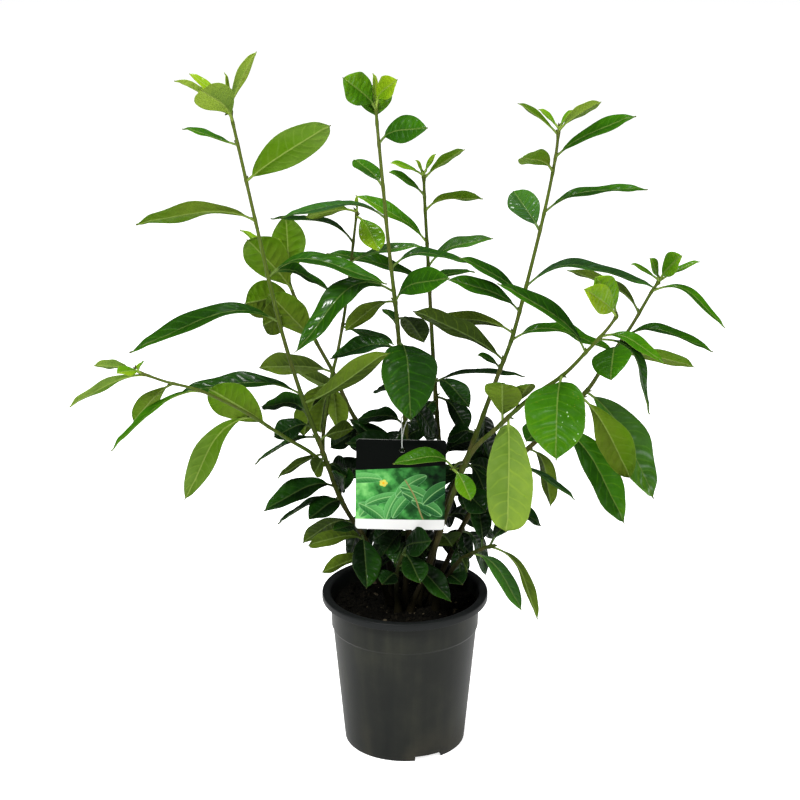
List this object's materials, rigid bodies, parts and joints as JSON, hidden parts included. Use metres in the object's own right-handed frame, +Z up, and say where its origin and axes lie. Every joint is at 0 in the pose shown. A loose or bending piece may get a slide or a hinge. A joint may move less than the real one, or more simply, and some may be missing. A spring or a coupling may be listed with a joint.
{
  "type": "potted cherry laurel",
  "caption": "Young cherry laurel with upright leafy shoots, growing in a round black nursery pot, with a picture label tied to the middle shoot.",
  "frame": {"origin": "middle of the flat pad under the pot's floor, level with its foot", "axes": "+Z up along the pot and the shoots, -Y towards the front, +X to the right seen from the front"},
  "size_m": [0.7021, 0.4211, 0.812],
  "materials": {
    "leaf": "satin",
    "compost": "matte",
    "pot_plastic": "matte",
    "label_print": "gloss",
    "clear_plastic": "gloss"
  },
  "bodies": {
    "root": {"label_card": "label_print", "label_loop": "clear_plastic", "pot": "pot_plastic", "shoot_back_centre": "leaf", "shoot_back_left": "leaf", "shoot_centre": "leaf", "shoot_left": "leaf", "shoot_low_centre": "leaf", "shoot_low_right": "leaf", "shoot_right": "leaf", "shoot_right_front": "leaf", "shoot_right_outer": "leaf", "soil": "compost"}
  },
  "joints": []
}
